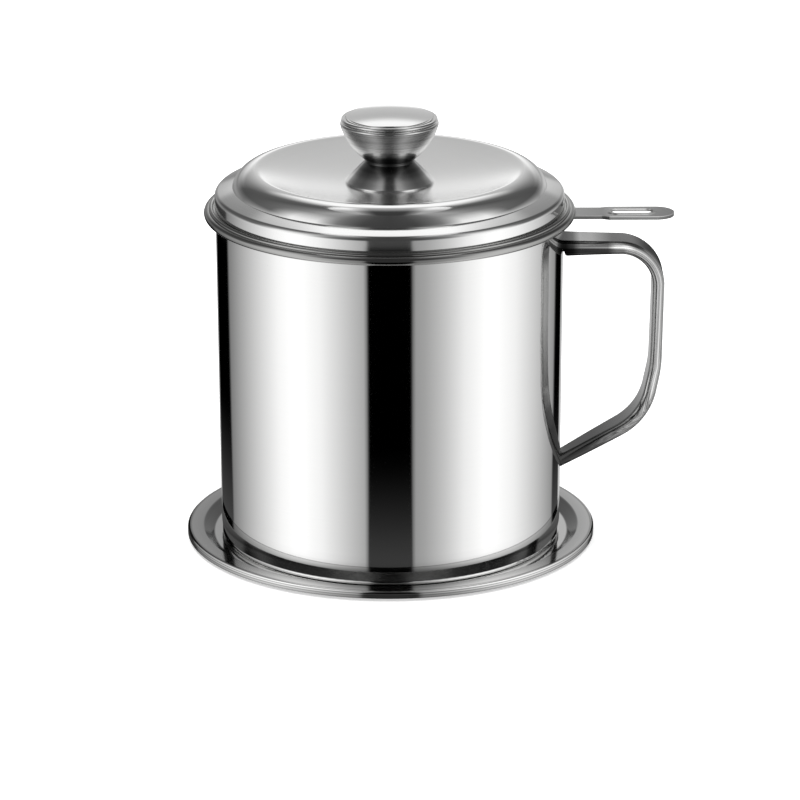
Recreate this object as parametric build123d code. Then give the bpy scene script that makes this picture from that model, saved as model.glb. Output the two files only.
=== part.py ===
from build123d import *
import math
import os

# A strainer pot for cooking fat: tray, pot with strap handle, lift-out strainer, lid with knob.
# Millimetres. +Z is up, +X points to the handles, and the origin is on the pot's axis at the
# underside of the tray. The sheet pieces are spun or pressed from stainless steel, so each is
# a profile of (radius, height) points, thickened to one side and turned about the axis.

# ---- tray ----
tray_pot_gap = 2.95          # pot's base to the edge of the well
tray_height = 3.5            # top of the flat ring above the table
tray_sheet = 0.8
tray_ring_width = 5.6        # flat ring between the edge and the well
tray_wall_run = 3.6          # how far the well's sloping wall runs inwards
tray_edge_drop = 2.5         # how far the turned-down edge hangs
tray_edge_bend = 0.9

# ---- pot ----
pot_mouth_radius = 60.35     # outside, at the mouth
pot_draft = 0.7              # how much narrower the wall is at the base
pot_height = 117.9           # base to the top of the lip
pot_sheet = 0.6
pot_corner = 2.0             # outside radius where the wall meets the base
pot_lip_bead = 0.65          # radius of the bead round the mouth

# ---- pot handle ----
handle_root_drop = 13.2      # middle of the upper arm below the pot's lip
handle_reach = 33.2          # pot wall to the middle of the grip at its top
handle_bow_lean = 0.9        # lean of the grip's upper part
handle_bow_rise = 18.6       # end of that part above the lower corner
handle_heel_lean = 4.6       # how far the lower corner stands in from the top of the grip
handle_heel_rise = 17.7      # that corner above the end of the lower arm
handle_foot_height = 25.4    # end of the lower arm's middle line above the pot's base
handle_top_bend = 13.6
handle_bow_bend = 40.0
handle_heel_bend = 22.0
handle_root_width = 14.0
handle_grip_width = 14.5
handle_foot_width = 9.6
handle_root_thickness = 5.8
handle_grip_thickness = 4.3
handle_foot_thickness = 3.8
handle_root_corner = 1.2     # corner radius of the strap's section at the root
handle_grip_corner = 2.0
handle_foot_corner = 1.8
handle_root_round = 2.0      # rounding under the root, next to the pot

# ---- strainer ----
strainer_sheet = 0.7
strainer_gap = 0.45          # running gap between the strainer's wall and the pot
strainer_wall_depth = 11.5   # flange to the lower end of the wall
strainer_roll = 1.5          # radius of the rolled edge
strainer_roll_gap = 0.35     # between the rolled edge and the pot's bead
strainer_roll_drop = 1.7     # middle of the rolled edge below the top of the flange
lid_bead = 0.75              # radius of the bead that keeps the lid in place
lid_bead_inset = 1.05        # middle of that bead in from the middle of the rolled edge
mesh_sheet = 0.6
mesh_depth = 36.0            # flange to the bottom of the mesh bowl
mesh_floor_radius = 40.0
mesh_bottom_bend = 16.0
mesh_top_bend = 3.0
mesh_top_drop = 1.2          # corner at the top of the bowl below the strainer's wall
clamp_sheet = 0.7
clamp_height = 5.0
strip_length = 35.7          # middle of the rolled edge to the tip
strip_width = 10.8
strip_pad_width = 12.8       # the wider end that is held
strip_pad_start = 13.0       # middle of the rolled edge to where the wider end starts
strip_flare = 2.5            # length over which the strip widens
strip_sheet = 0.6
strip_lip = 1.25             # depth of the strip's turned-down edge
strip_drop = 0.7             # top of the strip below the middle of the rolled edge
slot_length = 14.8
slot_width = 5.2
slot_border = 1.1            # width of the raised border round the slot
slot_border_height = 0.3
slot_end = 7.3               # tip of the strip to the end of the slot

# ---- lid ----
lid_gap = 0.45               # between the skirt and the strainer's bead
lid_sheet = 0.6
lid_height = 7.4             # seat to the inner side of the ridge
lid_shoulder = 1.9           # radius between the skirt and the ridge
lid_ridge_width = 6.2        # skirt to the foot of the crown
lid_ridge_fall = 1.8         # how much lower the ridge is at its outer side
lid_crown_height = 6.0       # crown above the ridge
lid_crown_bend = 8.0
lid_dish_depth = 5.3         # crown down to the middle of the lid

# ---- knob ----
knob_sheet = 1.0
knob_foot_radius = 15.4
knob_foot_edge = 0.5         # straight part of the foot's rim
knob_foot_cone = 7.0         # height of the cone from that rim to the neck
knob_neck_radius = 8.6
knob_neck_height = 0.9
knob_foot_bend = 0.8
knob_neck_bend = 0.5
knob_bowl_radius = 17.1
knob_bowl_step = 0.3         # how far the bowl's flat bottom stands out from the neck
knob_bowl_height = 12.4      # floor to the middle of the bowl's bead
knob_bowl_swell = 1.3        # how far the bowl's side swells beyond a straight cone
knob_bowl_bead = 0.75
knob_cap_wall = 1.9          # underside of the cap to the edge of its crown
knob_cap_crown = 1.2
knob_cap_sheet = 0.8
knob_cap_bead = 0.7
knob_cap_step = 0.4          # how far the cap's bead stands in from the bowl's
knob_cap_ledge = 0.95        # middle of the cap's bead to the edge of the crown
screw_radius = 2.5
screw_clearance = 0.2
screw_head_radius = 4.6
screw_head_height = 2.6
screw_recess_width = 1.2
screw_recess_length = 5.0
screw_recess_depth = 1.5
screw_end = 0.8              # how far the screw stands out of its nut
washer_radius = 7.0
washer_thickness = 1.0
nut_width = 8.0              # across the flats
nut_height = 4.0
thread_clearance = 0.05

# ---- heights and radii that pieces share ----
pot_base_z = tray_sheet
pot_lip_z = pot_base_z + pot_height
seat_z = pot_lip_z + strainer_sheet                    # top of the flange, where the lid rests
ridge_z = seat_z + lid_height
crown_z = ridge_z + lid_crown_height
dish_z = crown_z - lid_dish_depth
pot_base_radius = pot_mouth_radius - pot_draft
strainer_wall_radius = pot_mouth_radius - pot_sheet - strainer_gap
strainer_bore = strainer_wall_radius - strainer_sheet
strainer_wall_z = seat_z - strainer_wall_depth
roll_bore = pot_mouth_radius + pot_lip_bead + strainer_roll_gap
roll_radius = roll_bore + strainer_roll                # middle of the rolled edge
roll_z = seat_z - strainer_roll_drop
bead_radius = roll_radius - lid_bead_inset             # middle of the bead round the lid
lid_radius = bead_radius - lid_bead - lid_gap
crown_angle = math.asin(1 - lid_crown_height / lid_crown_bend)
crown_radius = lid_radius - lid_ridge_width - lid_crown_bend * math.cos(crown_angle)
dish_bend = (crown_radius**2 + lid_dish_depth**2) / (2 * lid_dish_depth) - lid_crown_bend
foot_z = dish_z + dish_bend - math.sqrt(dish_bend**2 - knob_foot_radius**2)
bowl_z = foot_z + knob_foot_edge + knob_foot_cone + knob_neck_height
bead_z = bowl_z + knob_bowl_height
cap_z = bead_z + knob_bowl_bead
screw_hole = screw_radius + screw_clearance


def turned(section):
    """Solid of revolution of a closed section drawn as (radius, height)."""
    return revolve(Plane.XZ * section, Axis.Z, 360)


def sheet(path, thickness, side):
    """Closed section of a sheet whose one face follows the path."""
    return make_face(offset(path, amount=thickness, side=side, kind=Kind.INTERSECTION))


def block(left, right, bottom, top):
    """Rectangular section between two radii and two heights."""
    corner = (Align.MIN, Align.MIN)
    return Pos(left, bottom) * Rectangle(right - left, top - bottom, align=corner)


def dot(radius, middle, height):
    """Round section, such as a bead, centred at a radius and a height."""
    return Pos(middle, height) * Circle(radius)


def column(radius, bottom, top):
    """Upright cylinder on the axis."""
    upright = (Align.CENTER, Align.CENTER, Align.MIN)
    return Pos(0, 0, bottom) * Cylinder(radius, top - bottom, align=upright)


def swell(start, end, amount):
    """Arc from start to end that stands out from the straight line by an amount."""
    run = end[0] - start[0]
    rise = end[1] - start[1]
    length = math.hypot(run, rise)
    middle_x = (start[0] + end[0]) / 2 + amount * rise / length
    middle_y = (start[1] + end[1]) / 2 - amount * run / length
    return ThreePointArc(start, (middle_x, middle_y), end)


def tray():
    """Shallow tray with a flat well for the pot, a raised ring and a turned-down edge."""
    well_radius = pot_base_radius + tray_pot_gap
    ring_inner = well_radius + tray_wall_run
    tray_radius = ring_inner + tray_ring_width
    edge = FilletPolyline(
        (ring_inner, tray_height),
        (tray_radius, tray_height),
        (tray_radius, tray_height - tray_edge_drop),
        radius=tray_edge_bend,
    )
    well = Polyline((0, tray_sheet), (well_radius, tray_sheet), (ring_inner, tray_height))
    return turned(sheet(Wire(well.edges() + edge.edges()), tray_sheet, Side.RIGHT))


def pot_outline():
    """Outside of the pot from the axis round the corner up to the lip."""
    return FilletPolyline(
        (0, pot_base_z),
        (pot_base_radius, pot_base_z),
        (pot_mouth_radius, pot_lip_z),
        radius=pot_corner,
    )


def pot_body():
    """Drawn pot, a little narrower at its base, with a beaded lip."""
    wall = sheet(Wire(pot_outline().edges()), pot_sheet, Side.LEFT)
    wall &= block(0, pot_mouth_radius, pot_base_z, pot_lip_z)
    bead = dot(pot_lip_bead, pot_mouth_radius, pot_lip_z - pot_lip_bead)
    bead &= block(pot_mouth_radius - pot_sheet / 2, 2 * pot_mouth_radius, pot_base_z, pot_lip_z)
    return turned(wall + bead)


def pot_solid():
    """The space inside the pot's outline, which shapes the ends of its handle."""
    outline = pot_outline()
    rest = Polyline((pot_mouth_radius, pot_lip_z), (0, pot_lip_z), (0, pot_base_z))
    return turned(make_face(Wire(outline.edges() + rest.edges())))


def strap_section(path, share, width, thickness, corner):
    """Rounded section of the strap at a share of its path's length."""
    plane = Plane(origin=path @ share, x_dir=(0, 1, 0), z_dir=path % share)
    return plane * RectangleRounded(width, thickness, corner)


def pot_handle():
    """Bent strap: flat at its root, rounder in the grip, and narrower at its foot."""
    grip_x = pot_mouth_radius + handle_reach
    inside = pot_base_radius - 2 * pot_sheet
    root_z = pot_lip_z - handle_root_drop
    foot_z = pot_base_z + handle_foot_height
    heel_z = foot_z + handle_heel_rise
    path = FilletPolyline(
        (inside, 0, root_z),
        (grip_x, 0, root_z),
        (grip_x - handle_bow_lean, 0, heel_z + handle_bow_rise),
        (grip_x - handle_heel_lean, 0, heel_z),
        (inside, 0, foot_z),
        radius=[handle_top_bend, handle_bow_bend, handle_heel_bend],
    )
    grip = (handle_grip_width, handle_grip_thickness, handle_grip_corner)
    sections = [
        strap_section(path, 0, handle_root_width, handle_root_thickness, handle_root_corner),
        strap_section(path, 0.25, *grip),
        strap_section(path, 0.6, *grip),
        strap_section(path, 1, handle_foot_width, handle_foot_thickness, handle_foot_corner),
    ]
    strap = sweep(sections=sections, path=path, multisection=True)
    round_x = pot_mouth_radius + handle_root_round
    round_z = root_z - handle_root_thickness / 2 + handle_root_round
    corner = block(inside, round_x, root_z - handle_root_thickness, round_z)
    corner -= dot(handle_root_round, round_x, round_z)
    notch = extrude(Plane.XZ * corner, handle_root_width, both=True)
    return strap - notch - pot_solid()


def strainer_rim():
    """Wall, flange, bead for the lid and rolled edge, which caps the pot's lip."""
    wall = block(strainer_bore, strainer_wall_radius, strainer_wall_z, seat_z)
    flange = make_face(Polyline(
        (strainer_bore, seat_z),
        (bead_radius, seat_z),
        (roll_radius, roll_z + strainer_roll),
        (roll_radius, roll_z),
        (roll_bore, roll_z),
        (roll_bore, pot_lip_z),
        (strainer_bore, pot_lip_z),
        close=True,
    ))
    roll = dot(strainer_roll, roll_radius, roll_z)
    bead = dot(lid_bead, bead_radius, seat_z)
    return turned(wall + flange + roll + bead)


def strainer_mesh():
    """Bowl of the strainer, with the outer shape of its woven wire."""
    outline = FilletPolyline(
        (0, seat_z - mesh_depth),
        (mesh_floor_radius, seat_z - mesh_depth),
        (strainer_bore, strainer_wall_z - mesh_top_drop),
        (strainer_bore, strainer_wall_z + clamp_height),
        radius=[mesh_bottom_bend, mesh_top_bend],
    )
    return turned(sheet(Wire(outline.edges()), mesh_sheet, Side.LEFT))


def mesh_clamp():
    """Ring that holds the edge of the mesh against the strainer's wall."""
    outer = strainer_bore - mesh_sheet
    return turned(block(outer - clamp_sheet, outer, strainer_wall_z, strainer_wall_z + clamp_height))


def strainer_strip(rim):
    """Strip handle with turned-down edges, coped to the rolled edge, with a hanging slot."""
    tip = roll_radius + strip_length
    root = roll_radius - 2 * strip_sheet
    pad_start = roll_radius + strip_pad_start
    pad_end = tip - strip_pad_width / 2
    half = strip_width / 2
    pad_half = strip_pad_width / 2
    side = [
        (root, half),
        (pad_start - strip_flare, half),
        (pad_start, pad_half),
        (pad_end, pad_half),
    ]
    other_side = [(x, -y) for x, y in reversed(side)]
    plan = make_face(Polyline(*side, *other_side, close=True))
    plan += Pos(pad_end, 0) * Circle(pad_half)
    slot_place = Pos(tip - slot_end - slot_length / 2, 0)
    slot = slot_place * SlotOverall(slot_length, slot_width)
    border = slot_place * SlotOverall(slot_length + 2 * slot_border, slot_width + 2 * slot_border)
    top = roll_z - strip_drop
    strip = Pos(0, 0, top) * extrude(plan, -strip_lip)
    strip += Pos(0, 0, top) * extrude(border, slot_border_height)
    hollow = Pos(0, 0, top - strip_lip) * extrude(offset(plan, -strip_sheet), strip_lip - strip_sheet)
    through = Pos(0, 0, top - strip_lip) * extrude(slot, strip_lip + slot_border_height)
    coped = column(roll_radius + strip_sheet / 2, 0, seat_z)
    return strip - hollow - through - coped - rim


def lid():
    """Pressed lid: skirt, ridge, raised crown, and a dish in the middle for the knob."""
    dish_angle = math.acos(-crown_radius / (dish_bend + lid_crown_bend))
    crown = CenterArc(
        (crown_radius, crown_z - lid_crown_bend),
        lid_crown_bend,
        math.degrees(crown_angle),
        math.degrees(dish_angle - crown_angle),
    )
    skirt = FilletPolyline(
        (lid_radius, seat_z),
        (lid_radius, ridge_z - lid_ridge_fall),
        (lid_radius - lid_ridge_width, ridge_z),
        radius=lid_shoulder,
    )
    dish = RadiusArc(crown @ 1, (0, dish_z), dish_bend)
    profile = Wire(skirt.edges() + crown.edges() + dish.edges())
    cover = turned(sheet(profile, lid_sheet, Side.LEFT))
    return cover - column(screw_hole, seat_z, crown_z)


def knob_foot():
    """Conical foot of the knob, which stands on the lid."""
    profile = FilletPolyline(
        (knob_foot_radius, foot_z),
        (knob_foot_radius, foot_z + knob_foot_edge),
        (knob_neck_radius, bowl_z - knob_neck_height),
        (knob_neck_radius, bowl_z),
        radius=[knob_foot_bend, knob_neck_bend],
    )
    top = Line((knob_neck_radius, bowl_z), (0, bowl_z))
    cone = turned(sheet(Wire(profile.edges() + top.edges()), knob_sheet, Side.LEFT))
    return cone - column(screw_hole, foot_z, bowl_z)


def knob_bowl():
    """Bowl-shaped body of the knob, with a beaded rim."""
    bead_middle = knob_bowl_radius - knob_bowl_bead
    corner = (knob_neck_radius + knob_bowl_step, bowl_z)
    floor = Line((0, bowl_z), corner)
    side = swell(corner, (knob_bowl_radius, bead_z), knob_bowl_swell)
    shell = sheet(Wire(floor.edges() + side.edges()), knob_sheet, Side.LEFT)
    bowl = turned(shell + dot(knob_bowl_bead, bead_middle, bead_z))
    return bowl - column(screw_hole, bowl_z, bead_z)


def knob_cap():
    """Crowned cap with a beaded edge, which closes the bowl."""
    bead_middle = knob_bowl_radius - knob_cap_step - knob_cap_bead
    crown_edge = bead_middle - knob_cap_ledge
    edge_z = cap_z + knob_cap_wall
    crown_bend = (crown_edge**2 + knob_cap_crown**2) / (2 * knob_cap_crown)
    wall = Line((crown_edge, cap_z), (crown_edge, edge_z))
    crown = RadiusArc((crown_edge, edge_z), (0, edge_z + knob_cap_crown), -crown_bend)
    cover = sheet(Wire(wall.edges() + crown.edges()), knob_cap_sheet, Side.LEFT)
    flange = block(crown_edge - knob_cap_sheet, bead_middle, cap_z, cap_z + knob_cap_bead)
    return turned(cover + flange + dot(knob_cap_bead, bead_middle, cap_z + knob_cap_bead))


def knob_washer():
    """Washer between the screw's head and the lid."""
    top = dish_z - lid_sheet
    bottom = top - washer_thickness
    return column(washer_radius, bottom, top) - column(screw_hole, bottom, top)


def knob_screw():
    """Screw that holds the knob from below, with a cross recess."""
    head_top = dish_z - lid_sheet - washer_thickness
    head_bottom = head_top - screw_head_height
    nut_top = bowl_z + knob_sheet + nut_height
    head = column(screw_head_radius, head_bottom, head_top)
    head = fillet(head.edges().group_by(Axis.Z)[0], screw_head_height / 3)
    shank = column(screw_radius, head_top, nut_top + screw_end)
    recess = Rectangle(screw_recess_length, screw_recess_width)
    recess += Rectangle(screw_recess_width, screw_recess_length)
    return head + shank - Pos(0, 0, head_bottom) * extrude(recess, screw_recess_depth)


def knob_nut():
    """Hexagonal nut inside the bowl."""
    bottom = bowl_z + knob_sheet
    flats = RegularPolygon(nut_width / 2, 6, major_radius=False)
    hexagon = Pos(0, 0, bottom) * extrude(flats, nut_height)
    return hexagon - column(screw_radius + thread_clearance, bottom, bottom + nut_height)


rim = strainer_rim()
nodes = {
    "tray": tray(),
    "pot_body": pot_body(),
    "pot_handle": pot_handle(),
    "strainer_rim": rim,
    "strainer_mesh": strainer_mesh(),
    "mesh_clamp_ring": mesh_clamp(),
    "strainer_handle": strainer_strip(rim),
    "lid": lid(),
    "knob_foot": knob_foot(),
    "knob_bowl": knob_bowl(),
    "knob_cap": knob_cap(),
    "knob_washer": knob_washer(),
    "knob_screw": knob_screw(),
    "knob_nut": knob_nut(),
}

os.makedirs("parts", exist_ok=True)
for name, shape in nodes.items():
    export_step(shape, f"parts/{name}.step")
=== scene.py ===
import math

import bpy
from bpy.props import FloatProperty, FloatVectorProperty, IntProperty, PointerProperty
from mathutils import Matrix


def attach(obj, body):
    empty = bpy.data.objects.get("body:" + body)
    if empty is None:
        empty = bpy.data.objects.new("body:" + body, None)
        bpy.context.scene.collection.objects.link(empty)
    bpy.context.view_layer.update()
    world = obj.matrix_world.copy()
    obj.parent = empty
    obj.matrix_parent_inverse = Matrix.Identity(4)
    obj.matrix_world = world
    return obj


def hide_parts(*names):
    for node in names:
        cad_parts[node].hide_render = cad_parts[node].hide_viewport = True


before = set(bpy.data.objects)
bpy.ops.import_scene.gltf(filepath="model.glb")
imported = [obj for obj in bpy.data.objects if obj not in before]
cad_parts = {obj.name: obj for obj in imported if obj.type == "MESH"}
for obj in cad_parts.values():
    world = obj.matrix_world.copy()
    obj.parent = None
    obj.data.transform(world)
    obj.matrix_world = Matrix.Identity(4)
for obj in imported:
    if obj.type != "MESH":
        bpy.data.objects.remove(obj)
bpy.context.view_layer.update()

bl_info = {
    "name": "Strainer pot",
    "version": (1, 0, 0),
    "blender": (4, 5, 0),
    "location": "3D View > Sidebar > Strainer pot",
    "description": "Polished pot for cooking fat, with a tray, a strainer and a knobbed lid",
    "category": "Object",
}

MM = 0.001
TURN = 2 * math.pi
DEGREES = 360 / TURN


# ---- outlines, as (radius, height above the table) in millimetres ----
# An arc is its middle, its radius, its first and last angle and its step, in degrees.

LID_SHEET = 0.6
LID_SKIRT = [(60.6, 119.4), (60.6, 125.0), (54.4, 126.8)]
LID_SKIRT_BENDS = (1.9,)
LID_CROWN = ((46.654, 124.8), 8.0, 14.48, 102.96, 3.0)
LID_DISH = ((0, 327.5), 200.0, -77.04, -89.23, 0.8)

TRAY_SHEET = 0.8
TRAY_WELL = [(0, 0.8), (40, 0.8), (62.3, 0.8), (62.6, 0.8), (62.8, 0.95), (66.0, 3.35)]
TRAY_EDGE = [(66.2, 3.5), (71.78, 3.5), (71.78, 1.0)]
TRAY_EDGE_BENDS = (0.9,)

RIM_ROLL = ((62.85, 117.7), 1.5, -180, 103.1, 8.0)
RIM_BEAD = ((61.8, 119.4), 0.75, -18.6, 180, 12.0)
RIM_WALL = [(58.6, 119.4), (58.6, 107.9), (59.3, 107.9), (59.3, 118.73), (61.35, 118.73)]

BOWL_LINE = [(0, 83.7), (39.86, 83.7), (58.3, 106.8), (58.3, 112.9)]
BOWL_BENDS = (15.7, 2.7)
BOWL_STEPS = 96
WIRES_REACH = 57.9
WIRES_START = 130
WIRE_ENDS = (58.3, 110)

# Vertices closer than this are one, in the line that is spun and in the spun piece.
LINE_MERGE = 0.001
SPUN_MERGE = 0.002
SMOOTH_ANGLE = 35


def arc(middle, radius, start, end, step):
    """Points of an arc round a middle, from one angle to another in degrees."""
    count = max(2, math.ceil(abs(end - start) / step))
    angles = [math.radians(start + (end - start) * i / count) for i in range(count + 1)]
    return [(middle[0] + radius * math.cos(a), middle[1] + radius * math.sin(a)) for a in angles]


def toward(start, end, distance):
    """Point on the way from start to end, at a distance from start."""
    run = end[0] - start[0]
    rise = end[1] - start[1]
    share = distance / math.hypot(run, rise)
    return (start[0] + run * share, start[1] + rise * share)


def rounded(corners, bends, step=5.0):
    """Line through corners, each inner one rounded to its bend's radius."""
    line = [corners[0]]
    for before, corner, after, bend in zip(corners, corners[1:], corners[2:], bends):
        heading_in = math.atan2(corner[1] - before[1], corner[0] - before[0])
        heading_out = math.atan2(after[1] - corner[1], after[0] - corner[0])
        turn = (heading_out - heading_in + math.pi) % TURN - math.pi
        reach = bend * math.tan(abs(turn) / 2)
        first = toward(corner, before, reach)
        side = math.copysign(math.pi / 2, turn)
        middle = (first[0] + bend * math.cos(heading_in + side),
                  first[1] + bend * math.sin(heading_in + side))
        start = math.degrees(heading_in - side)
        line += arc(middle, bend, start, start + math.degrees(turn), step)
    return line + [corners[-1]]


# ---- modelling ----

def deselect():
    """Leave edit mode and select nothing."""
    if bpy.context.object and bpy.context.object.mode != "OBJECT":
        bpy.ops.object.mode_set(mode="OBJECT")
    bpy.ops.object.select_all(action="DESELECT")


def pick(*objects):
    """Select these objects only and make the first one active."""
    deselect()
    for obj in objects:
        obj.select_set(True)
    bpy.context.view_layer.objects.active = objects[0]


def named(name):
    """Name the active object and its mesh."""
    obj = bpy.context.object
    obj.name = name
    obj.data.name = name
    return obj


def settle(obj):
    """Put the object's place into its mesh and smooth all but its sharp edges."""
    pick(obj)
    bpy.ops.object.transform_apply(location=True, rotation=True, scale=True)
    bpy.ops.object.shade_smooth_by_angle(angle=math.radians(SMOOTH_ANGLE))
    return obj


def select(kind, wanted):
    """Select the active mesh's vertices, edges or polygons that are wanted, and no others."""
    mesh = bpy.context.object.data
    for elements in (mesh.vertices, mesh.edges, mesh.polygons):
        elements.foreach_set("select", [False] * len(elements))
    kinds = ("vertices", "edges", "polygons")
    bpy.context.tool_settings.mesh_select_mode = [kind == name for name in kinds]
    for element in getattr(mesh, kind):
        element.select = wanted(element)


def spun(name, line, steps, sheet=0.0, closed=False):
    """Piece spun from a line, as a sheet that lies on the line's inner side if it has a thickness.

    A closed line makes a solid ring.
    """
    deselect()
    bpy.ops.mesh.primitive_plane_add(size=MM, location=(line[0][0] * MM, 0, line[0][1] * MM))
    obj = named(name)
    bpy.ops.object.mode_set(mode="EDIT")
    bpy.ops.mesh.select_all(action="SELECT")
    bpy.ops.mesh.merge(type="CENTER")
    for start, end in zip(line, line[1:]):
        step = ((end[0] - start[0]) * MM, 0, (end[1] - start[1]) * MM)
        bpy.ops.mesh.extrude_vertices_move(TRANSFORM_OT_translate={"value": step})
    bpy.ops.mesh.select_all(action="SELECT")
    if closed:
        bpy.ops.mesh.remove_doubles(threshold=LINE_MERGE * MM)
    bpy.ops.mesh.spin(steps=steps, angle=TURN, center=(0, 0, 0), axis=(0, 0, 1))
    bpy.ops.mesh.select_all(action="SELECT")
    bpy.ops.mesh.remove_doubles(threshold=SPUN_MERGE * MM)
    bpy.ops.mesh.normals_make_consistent(inside=False)
    bpy.ops.object.mode_set(mode="OBJECT")
    if sheet:
        face_up(obj)
        wall = obj.modifiers.new("Sheet", "SOLIDIFY")
        wall.thickness = sheet * MM
        wall.offset = -1
        wall.use_even_offset = True
        bpy.ops.object.modifier_apply(modifier=wall.name)
    return settle(obj)


def face_up(obj):
    """Turn an open sheet's faces over where most of it faces down."""
    if sum(face.normal.z * face.area for face in obj.data.polygons) < 0:
        bpy.ops.object.mode_set(mode="EDIT")
        bpy.ops.mesh.flip_normals()
        bpy.ops.object.mode_set(mode="OBJECT")


def joined(name, *objects):
    """Several meshes made one piece."""
    pick(*objects)
    bpy.ops.object.join()
    return settle(named(name))


def stand_for(piece, node, body):
    """Put a piece on a node's body and hide the node, so that the piece stands in its place."""
    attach(piece, body)
    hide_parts(node)


# ---- shading ----

class Maths:
    """A number from a socket, which adds Math nodes where it is used in an expression."""

    def __init__(self, shading, socket):
        self.shading = shading
        self.socket = socket

    def act(self, operation, *values):
        node = self.shading.node("ShaderNodeMath", {"operation": operation},
                                 dict(enumerate(values)))
        return Maths(self.shading, node.outputs[0])

    def __add__(self, other):
        return self.act("ADD", self, other)

    def __radd__(self, other):
        return self.act("ADD", other, self)

    def __sub__(self, other):
        return self.act("SUBTRACT", self, other)

    def __rsub__(self, other):
        return self.act("SUBTRACT", other, self)

    def __mul__(self, other):
        return self.act("MULTIPLY", self, other)

    def __rmul__(self, other):
        return self.act("MULTIPLY", other, self)

    def __truediv__(self, other):
        return self.act("DIVIDE", self, other)

    def __pow__(self, other):
        return self.act("POWER", self, other)

    def __abs__(self):
        return self.act("ABSOLUTE", self)

    def root(self):
        return self.act("SQRT", self)

    def at_least(self, other):
        return self.act("MAXIMUM", self, other)

    def at_most(self, other):
        return self.act("MINIMUM", self, other)

    def bearing(self, other):
        """Angle in degrees of this rise over another run."""
        return self.act("ARCTAN2", self, other) * DEGREES


class Shading:
    """Node tree of a material or a world."""

    def __init__(self, owner):
        owner.use_nodes = True
        self.tree = owner.node_tree
        self.tree.nodes.clear()

    def node(self, kind, settings=None, inputs=None):
        """Node of a kind, with its settings made first and then its sockets filled."""
        node = self.tree.nodes.new(kind)
        for key, value in (settings or {}).items():
            if key == "stops":
                self.set_stops(node.color_ramp, value)
            else:
                setattr(node, key, value)
        for key, value in (inputs or {}).items():
            self.fill(node.inputs[key], value)
        return node

    def fill(self, socket, value):
        """Link a socket to another, or give it a value."""
        if isinstance(value, Maths):
            value = value.socket
        if isinstance(value, bpy.types.NodeSocket):
            self.tree.links.new(value, socket)
        else:
            socket.default_value = value

    def set_stops(self, ramp, stops):
        """Stops of a ramp as (place, grey)."""
        while len(ramp.elements) < len(stops):
            ramp.elements.new(1.0)
        for element, (place, value) in zip(ramp.elements, stops):
            element.position = place
            element.color = (value, value, value, 1)

    def ramp(self, value, stops):
        """Number that runs straight from stop to stop of (place, level), with places 0 to 1."""
        node = self.node("ShaderNodeValToRGB", {"stops": stops}, {"Fac": value})
        return Maths(self, node.outputs[0])

    def over(self, measure, span, stops, start=0):
        """A ramp whose stops are (measure, level), on a span of the measure from a start."""
        if start:
            measure = measure - start
        return self.ramp(measure / span, [((at - start) / span, level) for at, level in stops])

    def number(self, socket):
        """A socket as a number for expressions."""
        return Maths(self, socket)


class Surface(Shading):
    """Node tree of a new material, with its places on the object in millimetres."""

    def __init__(self, name):
        self.material = bpy.data.materials.new(name)
        super().__init__(self.material)
        point = self.node("ShaderNodeTexCoord").outputs["Object"]
        parts = self.node("ShaderNodeSeparateXYZ", {}, {0: point})
        self.x, self.y, self.z = (self.number(output) * 1000 for output in parts.outputs)
        self.radius = (self.x * self.x + self.y * self.y).root()

    def shown(self, shader):
        """The material, with a shader node as its surface."""
        self.node("ShaderNodeOutputMaterial", {}, {"Surface": shader.outputs[0]})
        return self.material


class Steel(Surface):
    """Node tree of a steel finish."""

    def grain(self, across, along, detail=2.0):
        """Uneven marks, from 0 to 1, whose width and length follow two numbers."""
        place = self.node("ShaderNodeCombineXYZ", {}, {0: across, 1: along})
        cloud = self.node("ShaderNodeTexNoise", {"noise_dimensions": "2D"},
                          {"Vector": place.outputs[0], "Scale": 1.0, "Detail": detail})
        return self.number(cloud.outputs[0])

    def turned(self, across):
        """Marks of turning, close across the piece and long round it."""
        return self.grain(across * TURNING_ACROSS, self.z * TURNING_ALONG)

    def done(self, colour, tone, rough):
        """Steel of a colour, darkened by a tone and polished to a roughness."""
        shade = self.node("ShaderNodeCombineColor", {}, {0: tone, 1: tone, 2: tone})
        tinted = self.node("ShaderNodeMix", {"data_type": "RGBA", "blend_type": "MULTIPLY"}, {
            0: 1.0, 6: (*colour, 1), 7: shade.outputs[0]})
        return self.shown(self.node("ShaderNodeBsdfPrincipled", {}, {
            "Base Color": tinted.outputs[2], "Metallic": 1.0, "Roughness": rough}))


# ---- sizes, finishes and studio ----

class PotSizes(bpy.types.PropertyGroup):
    """Sizes of the pieces that are modelled finer than their solids."""

    wire: FloatProperty(
        name="Wire", description="Diameter of the strainer's wire",
        default=0.00028, unit="LENGTH")
    pitch: FloatProperty(
        name="Pitch", description="Distance between the strainer's wires",
        default=0.0012, unit="LENGTH")
    steps: IntProperty(
        name="Steps", description="Steps round a spun piece",
        default=192, min=48)


class PotFinish(bpy.types.PropertyGroup):
    """Colours and surfaces of the steel."""

    polished: FloatVectorProperty(
        name="Polished steel", description="Colour of the polished steel",
        default=(0.93, 0.93, 0.925), subtype="COLOR")
    satin: FloatVectorProperty(
        name="Satin steel", description="Colour of the strainer's rim and clamp ring",
        default=(0.62, 0.62, 0.61), subtype="COLOR")
    wire: FloatVectorProperty(
        name="Wire", description="Colour of the woven wire",
        default=(0.58, 0.57, 0.55), subtype="COLOR")
    fastener: FloatVectorProperty(
        name="Fasteners", description="Colour of the screw, nut and washer",
        default=(0.55, 0.55, 0.54), subtype="COLOR")
    gloss: FloatProperty(
        name="Polish", description="Roughness of the polished steel",
        default=0.045, min=0, max=1, subtype="FACTOR")


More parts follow.
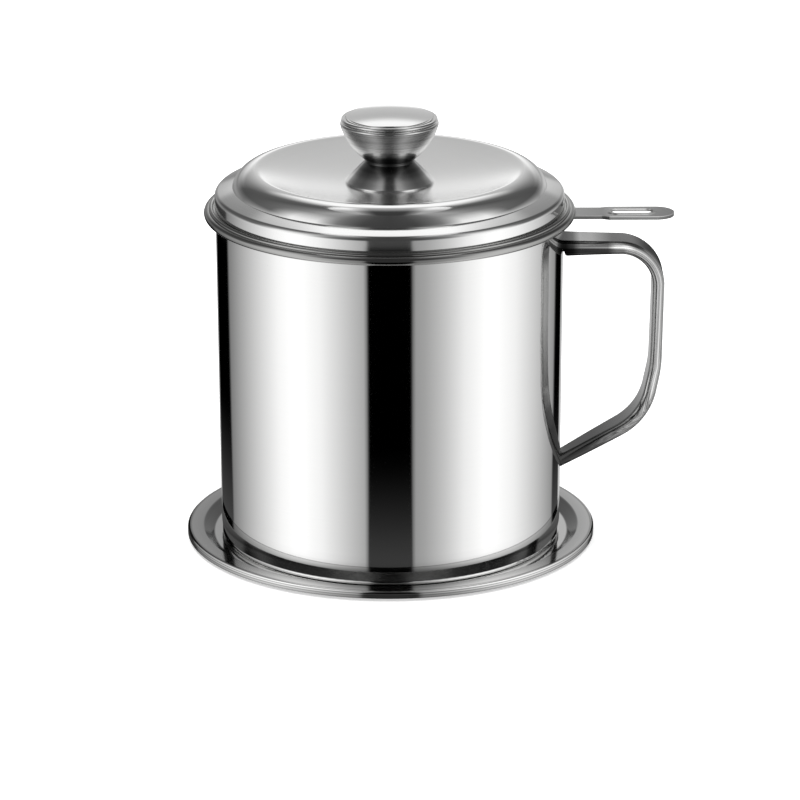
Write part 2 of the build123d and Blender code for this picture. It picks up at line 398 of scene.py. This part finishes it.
class PotStudio(bpy.types.PropertyGroup):
    """Light and cards round the pot."""

    lamp: FloatProperty(
        name="Lamp", description="Power of the lamp overhead",
        default=9.0, unit="POWER")
    fill: FloatProperty(
        name="Fill", description="Strength of the room's light",
        default=0.55, min=0)
    card: FloatProperty(
        name="Cards", description="Brightness of the white parts of the cards",
        default=1.12, min=0)


# ---- pieces ----

class POT_OT_spun_pieces(bpy.types.Operator):
    """Spin the lid's cover, the tray and the strainer's rim finer than their solids"""

    bl_idname = "pot.spun_pieces"
    bl_label = "Spin the lid, the tray and the rim"

    def execute(self, context):
        steps = context.scene.pot_sizes.steps
        skirt = rounded(LID_SKIRT, LID_SKIRT_BENDS)
        cover = skirt + arc(*LID_CROWN)[1:] + arc(*LID_DISH)[1:]
        stand_for(spun("lid_cover", cover, steps, LID_SHEET), "lid", "lid")
        drip = TRAY_WELL + rounded(TRAY_EDGE, TRAY_EDGE_BENDS)
        stand_for(spun("drip_tray", drip, steps, TRAY_SHEET), "tray", "tray")
        roll = arc(*RIM_ROLL)
        ring = roll + arc(*RIM_BEAD)[1:] + RIM_WALL + roll[:1]
        rim = spun("rolled_rim", ring, steps, closed=True)
        stand_for(rim, "strainer_rim", "strainer")
        return {"FINISHED"}


class POT_OT_wire_bowl(bpy.types.Operator):
    """Weave the strainer's bowl from two sets of wires, with their ends up the rim's wall"""

    bl_idname = "pot.wire_bowl"
    bl_label = "Weave the wire bowl"

    def execute(self, context):
        sizes = context.scene.pot_sizes
        former = spun("former", rounded(BOWL_LINE, BOWL_BENDS), BOWL_STEPS)
        wires = []
        for name, crosswise in (("wires_along", True), ("wires_across", False)):
            lines = weave(name, former, sizes, crosswise)
            turn_up(lines)
            wires.append(drawn(lines, sizes.wire))
        bowl = joined("wire_bowl", *wires)
        bpy.data.objects.remove(former)
        stand_for(bowl, "strainer_mesh", "strainer")
        return {"FINISHED"}


def weave(name, former, sizes, crosswise):
    """Lines of one set of wires, pressed onto a former and bent over and under the other set."""
    reach = WIRES_REACH * MM
    count = 2 * int(reach / sizes.pitch)
    deselect()
    bpy.ops.mesh.primitive_grid_add(
        x_subdivisions=count, y_subdivisions=count, size=count * sizes.pitch,
        location=(0, 0, WIRES_START * MM))
    obj = named(name)
    bpy.ops.object.transform_apply(location=True, rotation=False, scale=False)
    mesh = obj.data
    select("vertices", lambda v: v.co.xy.length > reach)
    bpy.ops.object.mode_set(mode="EDIT")
    bpy.ops.mesh.delete(type="VERT")
    bpy.ops.object.mode_set(mode="OBJECT")
    over = [round((v.co.x + v.co.y) / sizes.pitch) % 2 == crosswise for v in mesh.vertices]
    press = obj.modifiers.new("Press", "SHRINKWRAP")
    press.target = former
    press.wrap_method = "PROJECT"
    press.use_project_z = True
    press.use_negative_direction = True
    press.use_positive_direction = False
    bpy.ops.object.modifier_apply(modifier=press.name)
    for lifted in (True, False):
        select("vertices", lambda v: over[v.index] == lifted)
        bpy.ops.object.mode_set(mode="EDIT")
        bpy.ops.transform.shrink_fatten(value=sizes.wire / (2 if lifted else -2))
        bpy.ops.object.mode_set(mode="OBJECT")
    points = [v.co.copy() for v in mesh.vertices]
    select("edges", lambda e: crosses(points, e) == crosswise)
    bpy.ops.object.mode_set(mode="EDIT")
    bpy.ops.mesh.delete(type="EDGE_FACE")
    bpy.ops.object.mode_set(mode="OBJECT")
    return obj


def crosses(points, edge):
    """True for an edge that runs more along Y than along X."""
    run = points[edge.vertices[0]] - points[edge.vertices[1]]
    return abs(run.y) > abs(run.x)


def turn_up(obj):
    """Carry the ends of an active object's lines up the inside of the rim's wall."""
    edges_at = [0] * len(obj.data.vertices)
    for edge in obj.data.edges:
        for i in edge.vertices:
            edges_at[i] += 1
    select("vertices", lambda v: edges_at[v.index] == 1)
    bpy.ops.object.mode_set(mode="EDIT")
    bpy.ops.mesh.extrude_vertices_move(TRANSFORM_OT_translate={"value": (0, 0, MM)})
    bpy.ops.object.mode_set(mode="OBJECT")
    radius, height = WIRE_ENDS
    for vertex in obj.data.vertices:
        if vertex.select:
            vertex.co.xy = vertex.co.xy.normalized() * radius * MM
            vertex.co.z = height * MM


def drawn(obj, thickness):
    """Lines made into wires of a thickness, with few faces."""
    pick(obj)
    bpy.ops.object.convert(target="CURVE")
    curve = bpy.context.object.data
    curve.bevel_depth = thickness / 2
    curve.bevel_resolution = 0
    bpy.ops.object.convert(target="MESH")
    return bpy.context.object


# ---- finishes ----
# Places are in millimetres, and tones are shares of the steel's own colour.

TURNING_ACROSS = 2.5
TURNING_ALONG = 0.4

# The wall's base, by height: a ring of painted shade just above the bend.
BASE_PAINTED_SHADE = [(5.4, 1.0), (6.2, 0.45), (7.4, 0.78), (9.6, 0.96), (12, 1.0)]

# The knob's painted shade, from clean metal to its darker neck, and the heights of these on two
# pieces.
NECK_PAINTED_SHADE = (1.0, 0.6, 0.2, 0.15)
FOOT_HEIGHTS = (128.6, 131.0, 133.5, 136.5)
BOWL_HEIGHTS = (141.0, 139.6, 138.4, 137.6)

# The lid's roughness by radius, from its dish to its skirt.
LID_ROUGHNESS = [(18.6, 0.23), (31, 0.22), (42.16, 0.17), (45.88, 0.1), (49.6, 0.07), (62, 0.09)]

# The tray's tones by radius, with painted shade on the sloping wall, ring and edge beyond its
# bright well; then painted reflection lines by height on its edge.
TRAY_PAINTED_SHADE = [(0, 0.9), (62.064, 0.9), (62.496, 0.18), (65.88, 0.18), (66.312, 0.6),
              (70.2, 0.7), (70.848, 0.25), (71.28, 1.0), (72, 1.0)]
TRAY_EDGE_PAINTED_LINES = [(1.2, 0.3), (1.68, 0.6), (2.08, 0.3), (2.48, 0.9), (2.8, 0.35), (3.12, 1.0)]
TRAY_EDGE_START = [(70.92, 0.0), (71.424, 1.0)]

# The strap leans in by height. Its upper bend turns round a middle at (x, height), and its lower
# arm is measured from a point on it, square to the arm.
STRAP_LEAN = [(44.4, 0.46), (62.4, 0.09), (92.4, 0.0)]
STRAP_LEAN_MOST = 10
STRAP_BEND = (79.95, 91.9)
ARM_POINT = (88.95, 43.9)
ARM_SQUARE = (0.503, 0.865)
ARM_ACROSS = 13.6
# Its polishing lines, and the painted shade of its edges and its flat outer face.
STRAP_LINES = 1.3
STRAP_STREAKS = [(0.3, 0.02), (0.4, 1.0), (0.45, 0.06), (0.52, 1.0), (0.58, 0.1), (0.7, 1.0)]
STRAP_EDGE_PAINTED_SHADE = [(24, 0.4), (43.2, 0.55), (54, 0.9), (88.8, 0.9), (99.6, 0.35)]
STRAP_FACE = [(36, 0.07), (54, 0.45), (72, 0.85)]
STRAP_FACE_HALF = [(5.76, 1.0), (6.56, 0.0)]
# The part of it that is high enough for the bend, and the painted highlight and painted shade
# there along X and across it.
STRAP_TOP = [(88.8, 0.0), (96, 1.0)]
BEND_PAINTED_HIGHLIGHT = [(75.5, 0.0), (78.5, 1.0), (81.5, 1.0), (85, 0.3)]
BEND_INSIDE = [(13.2, 0.25), (14, 1.0)]
BEND_OUTSIDE = [(81, 0.0), (87, 1.0)]
TOP_FACE_PAINTED_SHADE = [(70, 0.0), (77, 0.7)]
# Painted shade at its root, on the upper arm only.
ROOT_PAINTED_SHADE = [(61, 0.04), (63.5, 0.2), (66, 1.0)]
UPPER_ARM = [(72, 0.0), (84, 1.0)]

# Painted shade on the strip's turned-down edge by height, and on its neck by the rim along X.
STRIP_EDGE_PAINTED_SHADE = [(115.8, 0.25), (116.68, 0.3), (116.96, 1.0)]
STRIP_NECK_PAINTED_SHADE = [(74, 0.65), (77, 1.0)]


class POT_OT_finishes(bpy.types.Operator):
    """Give each piece of steel its finish"""

    bl_idname = "pot.finishes"
    bl_label = "Finish the steel"

    def execute(self, context):
        finish = context.scene.pot_finish
        coats = {
            "tray": tray_steel(finish),
            "pot_body": body_steel(finish),
            "pot_handle": strap_steel(finish),
            "strainer_rim": spun_steel("strainer_rim", finish.satin, finish.gloss * 2.5, 0.68),
            "strainer_mesh": wire_steel(finish),
            "mesh_clamp_ring": spun_steel("mesh_clamp_ring", finish.satin, 0.25),
            "strainer_handle": strip_steel(finish),
            "lid": lid_steel(finish),
            "knob_foot": knob_steel("knob_foot", finish, FOOT_HEIGHTS),
            "knob_bowl": knob_steel("knob_bowl", finish, BOWL_HEIGHTS),
            "knob_cap": spun_steel("knob_cap", finish.polished, 0.1),
            "knob_washer": spun_steel("knob_washer", finish.fastener, 0.3),
            "knob_screw": spun_steel("knob_screw", finish.fastener, 0.25),
            "knob_nut": spun_steel("knob_nut", finish.fastener, 0.25),
        }
        for node, coat in coats.items():
            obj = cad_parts[node]
            obj.data.materials.clear()
            obj.data.materials.append(coat)
        pieces = {"lid_cover": "lid", "drip_tray": "tray", "rolled_rim": "strainer_rim",
                  "wire_bowl": "strainer_mesh"}
        for piece, node in pieces.items():
            bpy.data.objects[piece].data.materials.append(coats[node])
        return {"FINISHED"}


def spun_steel(name, colour, gloss, tone=0.97):
    """Steel with faint turning marks round the pot's axis."""
    steel = Steel(name)
    marks = steel.turned(steel.radius + steel.z)
    return steel.done(colour, marks * 0.02 + tone, marks * 0.01 + (gloss - 0.005))


def body_steel(finish):
    """The pot's wall: mirror bright, with a ring of painted shade just above the base."""
    steel = Steel("pot_body")
    marks = steel.turned(steel.radius + steel.z)
    # Painted shade: a darker ring just above the base.
    base = steel.over(steel.z, 20, BASE_PAINTED_SHADE)
    return steel.done(finish.polished, (marks * 0.02 + 0.97) * base, marks * 0.01 + finish.gloss)


def knob_steel(name, finish, heights):
    """Polished steel of the knob, with painted shade that darkens it towards its neck."""
    steel = Steel(name)
    marks = steel.turned(steel.radius + steel.z)
    # Painted shade: darker towards the neck.
    tone = steel.over(steel.z, 40, sorted(zip(heights, NECK_PAINTED_SHADE)), 120)
    return steel.done(finish.polished, tone * (marks * 0.9 + 0.55), marks * 0.1 + finish.gloss * 2)


def lid_steel(finish):
    """The lid: bright on its edge and crown, and softer in the dish."""
    steel = Steel("lid")
    marks = steel.turned(steel.radius)
    soft = steel.over(steel.radius, 62, LID_ROUGHNESS)
    return steel.done(finish.polished, marks * 0.05 + 0.95, soft + marks * 0.03)


def tray_steel(finish):
    """The tray: a bright well, painted shade on its slope and ring, and painted reflection lines
    round its edge.
    """
    steel = Steel("tray")
    marks = steel.grain(steel.radius * TURNING_ACROSS, steel.z)
    # Painted shade by radius: dark slope, duller ring, dark line before the edge.
    tone = steel.over(steel.radius, 72, TRAY_PAINTED_SHADE)
    # Painted reflection lines, dark and bright, by height round the edge.
    lines = steel.over(steel.z, 4, TRAY_EDGE_PAINTED_LINES)
    tone = tone + (lines - tone) * steel.over(steel.radius, 72, TRAY_EDGE_START)
    return steel.done(finish.polished, tone + marks * 0.05, marks * 0.08 + 0.08)


def strap_across(steel):
    """Millimetres outward through the strap, measured from inside its loop."""
    lean = steel.over(steel.z, 120, STRAP_LEAN) * STRAP_LEAN_MOST
    out = (steel.x + lean - STRAP_BEND[0]).at_least(0)
    up = (steel.z - STRAP_BEND[1]).at_least(0)
    arm = ((steel.x - ARM_POINT[0]) * ARM_SQUARE[0] - (steel.z - ARM_POINT[1]) * ARM_SQUARE[1]
           + ARM_ACROSS)
    return (out * out + up * up).root().at_least(arm)


def strap_steel(finish):
    """The pot's handle: long polishing lines, painted shade on its edges, root and lower arm, and
    a painted highlight on its bend.
    """
    steel = Steel("pot_handle")
    across = strap_across(steel)
    lines = steel.grain(across * STRAP_LINES, steel.y * STRAP_LINES, 1.0)
    top = steel.over(steel.z, 120, STRAP_TOP)
    # Painted highlight on the top of the bend.
    painted_highlight = steel.over(steel.x, 100, BEND_PAINTED_HIGHLIGHT) * top
    inside = steel.over(across, 20, BEND_INSIDE) + steel.over(steel.x, 100, BEND_OUTSIDE)
    # Painted shade on the edges, darkest on the lower arm and over the bend.
    edge = (steel.over(steel.z, 120, STRAP_EDGE_PAINTED_SHADE) + painted_highlight) * (1 - (1 - inside.at_most(1)) * top)
    streaks = steel.ramp(lines, STRAP_STREAKS) * edge
    # Painted shade on the flat outer face, darkest low on the lower arm and on the bend's top.
    face = steel.over(steel.z, 120, STRAP_FACE)
    face = face * (1 - top * steel.over(steel.x, 100, TOP_FACE_PAINTED_SHADE))
    flat = steel.over(abs(steel.y), 8, STRAP_FACE_HALF)
    # Painted shade at the root of the upper arm.
    root = steel.over(steel.x, 100, ROOT_PAINTED_SHADE)
    upper = steel.over(steel.z, 120, UPPER_ARM)
    tone = (streaks + (face - streaks) * flat) * (1 - (1 - root) * upper)
    return steel.done(finish.polished, tone, lines * 0.1 + 0.14)


def strip_steel(finish):
    """The strainer's strip: satin, brushed along its length, with painted shade on its edge and
    neck.
    """
    steel = Steel("strainer_handle")
    marks = steel.grain(steel.y * 6, steel.x * 0.15)
    # Painted shade: darker on the turned-down edge and at the neck by the rim.
    tone = steel.over(steel.z, 4, STRIP_EDGE_PAINTED_SHADE, 115) * steel.over(steel.x, 100, STRIP_NECK_PAINTED_SHADE)
    return steel.done(finish.polished, (marks * 0.3 + 0.7) * tone, marks * 0.15 + 0.25)


def wire_steel(finish):
    """The strainer's wire: drawn, duller where it has been scoured."""
    steel = Steel("strainer_mesh")
    marks = steel.grain(steel.x * 0.8, steel.y * 0.8)
    return steel.done(finish.wire, marks * 0.3 + 0.8, marks * 0.15 + 0.22)


# ---- studio ----
# The cards are one tube round the pot, closed on top. Its places are in millimetres, and its
# greys are display greys, from 0 to 255, or shares of white.

CARD_RADIUS = 118
CARD_FOOT = -100
CARD_TOP = 400
CARD_STEPS = 96
DISPLAY_GAMMA = 2.2

# Greys by degrees from the front, seen in the pot's wall.
WALL_CARDS = (
    (-180, 150), (-137, 150), (-106, 120), (-92, 160), (-74, 208),
    (-60, 245), (-52, 255), (-45, 255), (-35, 240), (-25, 208), (-15, 174), (-11.6, 160),
    (-10.2, 0), (10.2, 0), (11.6, 145), (17, 157), (27, 191), (38, 232), (50, 255), (57, 255),
    (70, 239), (87, 200), (104, 160), (113, 140), (132, 190), (180, 150),
)
# Black gaps in the wall cards towards the back, and the heights over which they fade out.
SIDE_GAPS = ((-137.16, 1.0), (-133.92, 0.0), (-109.08, 0.0), (-106.2, 1.0),
             (113.04, 1.0), (117, 0.0), (128.16, 0.0), (132.12, 1.0))
SIDE_GAPS_FADE = ((85, 0.0), (120, 1.0))
# The front's black gap is grey higher up, where the rim and the lip mirror it.
FRONT_GAP = ((10.08, 0.26), (12.6, 0.0))
FRONT_GAP_RISE = ((102.5, 0.0), (107.5, 1.0))
# Grey that comes up from the floor.
FLOOR_GREY = ((-20, 0.26), (-5, 0.2), (32, 0.0))
# Where the wall cards end and the upper cards begin.
UPPER_START = ((125, 0.0), (150, 1.0))
# The upper cards: greys by degrees either side of the front, low and high on the card, and the
# angle of sight from the lid at which one becomes the other.
LOW_CARDS = ((0, 62), (15, 66), (30, 115), (43, 230), (60, 235), (78, 95), (112, 75), (180, 110))
HIGH_CARDS = ((0, 64), (12, 70), (26, 98), (38, 140), (52, 152), (72, 115), (100, 80), (130, 95),
              (180, 160))
LID_HEIGHT = 128
HIGH_START = ((11.7, 0.0), (37.8, 1.0))
# Behind the pot: greys by height, and the degrees from the front at which they take over.
BACK_CARD = ((125, 70), (133, 75), (138, 250), (155, 252), (162, 190), (192, 175), (203, 178),
             (219, 245), (300, 252), (345, 245), (360, 200), (400, 165))
BACK_START = ((118.8, 0.0), (154.8, 1.0))
# Overhead: shares of white from front to back, more of it towards the sides, and its height.
CEILING = ((-125, 0.22), (-12.5, 0.24), (15, 0.4), (50, 0.52), (117.5, 0.66))
CEILING_SIDES = ((31.25, 0.0), (68.75, 0.4))
CEILING_START = ((394, 0.0), (398.8, 1.0))

# The floor's glow by distance from the pot, so that its far edge is as white as the room.
FLOOR_GLOW = ((150, 0.45), (600, 1.0))

LAMP_PLACE = (0, 0.1, 0.9)
LAMP_SIZE = 0.9
CAMERA_PLACE = (0.003583, -1.5, 0.542567)
CAMERA_TILT = 18.24
CAMERA_ROLL = -0.0024858
CAMERA_LENS = 202.352
CAMERA_SHIFT = (-0.000625, 0.000625)


class POT_OT_studio(bpy.types.Operator):
    """Set up the floor, the cards, the lamps and the camera"""

    bl_idname = "pot.studio"
    bl_label = "Set up the studio"

    def execute(self, context):
        studio = context.scene.pot_studio
        pale_floor()
        cards(studio)
        room(context.scene, studio)
        camera(context.scene)
        return {"FINISHED"}


def pale_floor():
    """Wide pale floor, white to the eye except where the pot shades it."""
    deselect()
    bpy.ops.mesh.primitive_plane_add(size=6, location=(0, 0, 0))
    floor = named("floor")
    pale = Surface("pale_floor")
    matt = pale.node("ShaderNodeBsdfDiffuse", {}, {"Color": (0.8, 0.8, 0.8, 1)})
    strength = pale.over(pale.radius, 1000, FLOOR_GLOW)
    glow = pale.node("ShaderNodeEmission", {}, {"Color": (1, 1, 1, 1), "Strength": strength})
    both = pale.node("ShaderNodeAddShader", {}, {0: matt.outputs[0], 1: glow.outputs[0]})
    path = pale.node("ShaderNodeLightPath")
    seen = pale.number(path.outputs["Is Camera Ray"]) + pale.number(path.outputs["Is Glossy Ray"])
    mix = pale.node("ShaderNodeMixShader", {}, {0: seen, 1: matt.outputs[0], 2: both.outputs[0]})
    floor.data.materials.append(pale.shown(mix))
    floor.visible_glossy = False


def greys(stops):
    """Stops whose display greys are made shares of white."""
    return [(place, grey / 255) for place, grey in stops]


def card_light(studio):
    """Light of the cards, worked out from where on them it leaves."""
    light = Surface("soft_cards")
    x, y, z = light.x, light.y, light.z
    around = x.bearing(0 - y)
    side = abs(around)
    wall = light.over(around, 360, greys(WALL_CARDS), -180)
    gaps = light.over(around, 360, SIDE_GAPS, -180).at_least(light.over(z, 250, SIDE_GAPS_FADE))
    front_gap = light.over(side, 180, FRONT_GAP) * light.over(z, 250, FRONT_GAP_RISE)
    wall = (wall * gaps + front_gap).at_least(light.over(z, 250, FLOOR_GREY, -125))
    low = light.over(side, 180, greys(LOW_CARDS))
    high = light.over(side, 180, greys(HIGH_CARDS))
    rise = (z - LID_HEIGHT).bearing(light.radius)
    upper = low + (high - low) * light.over(rise, 90, HIGH_START)
    behind = light.over(z, 400, greys(BACK_CARD))
    upper = upper + (behind - upper) * light.over(side, 180, BACK_START)
    ceiling = light.over(y, 250, CEILING, -125) + light.over(abs(x), 125, CEILING_SIDES)
    upper = upper + (ceiling - upper) * light.over(z, 400, CEILING_START)
    shade = wall + (upper - wall) * light.over(z, 250, UPPER_START)
    strength = shade ** DISPLAY_GAMMA * studio.card
    return light.shown(light.node(
        "ShaderNodeEmission", {}, {"Color": (1, 1, 1, 1), "Strength": strength}))


def only_mirrored(obj):
    """Let only the polished steel see a card."""
    obj.visible_camera = False
    obj.visible_diffuse = False
    obj.visible_transmission = False
    obj.visible_volume_scatter = False
    obj.visible_shadow = False


def cards(studio):
    """Cards round and over the pot."""
    tube = spun("cards", [(CARD_RADIUS, CARD_FOOT), (CARD_RADIUS, CARD_TOP), (0, CARD_TOP)],
                CARD_STEPS)
    tube.data.materials.append(card_light(studio))
    only_mirrored(tube)


def room(scene, studio):
    """World that lights the pot softly and is white behind it, and a lamp overhead."""
    world = bpy.data.worlds.new("room")
    scene.world = world
    air = Shading(world)
    soft = air.node("ShaderNodeBackground", {}, {"Color": (1, 1, 1, 1), "Strength": studio.fill})
    seen = air.node("ShaderNodeBackground", {}, {"Color": (1, 1, 1, 1), "Strength": 1.0})
    path = air.node("ShaderNodeLightPath")
    mix = air.node("ShaderNodeMixShader", {}, {
        0: path.outputs["Is Camera Ray"], 1: soft.outputs[0], 2: seen.outputs[0]})
    air.node("ShaderNodeOutputWorld", {}, {"Surface": mix.outputs[0]})
    bpy.ops.object.light_add(type="AREA", location=LAMP_PLACE)
    lamp = bpy.context.object
    lamp.name = "overhead_lamp"
    lamp.data.size = LAMP_SIZE
    lamp.data.energy = studio.lamp
    lamp.visible_glossy = False


def camera(scene):
    """Camera in front of the pot, looking down on it."""
    bpy.ops.object.camera_add()
    view = bpy.context.object
    view.name = "camera"
    tilt = Matrix.Rotation(math.radians(90 - CAMERA_TILT), 4, "X")
    roll = Matrix.Rotation(CAMERA_ROLL, 4, "Z")
    view.matrix_world = Matrix.Translation(CAMERA_PLACE) @ tilt @ roll
    view.data.sensor_width = 36
    view.data.lens = CAMERA_LENS
    view.data.shift_x, view.data.shift_y = CAMERA_SHIFT
    view.data.clip_start = 0.05
    view.data.clip_end = 20
    scene.camera = view
    scene.view_settings.view_transform = "Standard"


# ---- add-on ----

class POT_PT_panel(bpy.types.Panel):
    """Sizes and finishes of the pot, and the steps that dress it, in order"""

    bl_idname = "POT_PT_panel"
    bl_label = "Strainer pot"
    bl_space_type = "VIEW_3D"
    bl_region_type = "UI"
    bl_category = "Strainer pot"

    def draw(self, context):
        for name, group in GROUPS.items():
            for value in group.__annotations__:
                self.layout.prop(getattr(context.scene, name), value)
        for operator in OPERATORS:
            self.layout.operator(operator.bl_idname)


OPERATORS = (POT_OT_spun_pieces, POT_OT_wire_bowl, POT_OT_finishes, POT_OT_studio)
GROUPS = {"pot_sizes": PotSizes, "pot_finish": PotFinish, "pot_studio": PotStudio}


def register():
    for group in GROUPS.values():
        bpy.utils.register_class(group)
    for operator in OPERATORS:
        bpy.utils.register_class(operator)
    bpy.utils.register_class(POT_PT_panel)
    for name, group in GROUPS.items():
        setattr(bpy.types.Scene, name, PointerProperty(type=group))


def unregister():
    for name in GROUPS:
        delattr(bpy.types.Scene, name)
    bpy.utils.unregister_class(POT_PT_panel)
    for operator in reversed(OPERATORS):
        bpy.utils.unregister_class(operator)
    for group in reversed(GROUPS.values()):
        bpy.utils.unregister_class(group)


def main():
    register()
    bpy.ops.pot.spun_pieces()
    bpy.ops.pot.wire_bowl()
    bpy.ops.pot.finishes()
    bpy.ops.pot.studio()


if __name__ == "__main__":
    main()
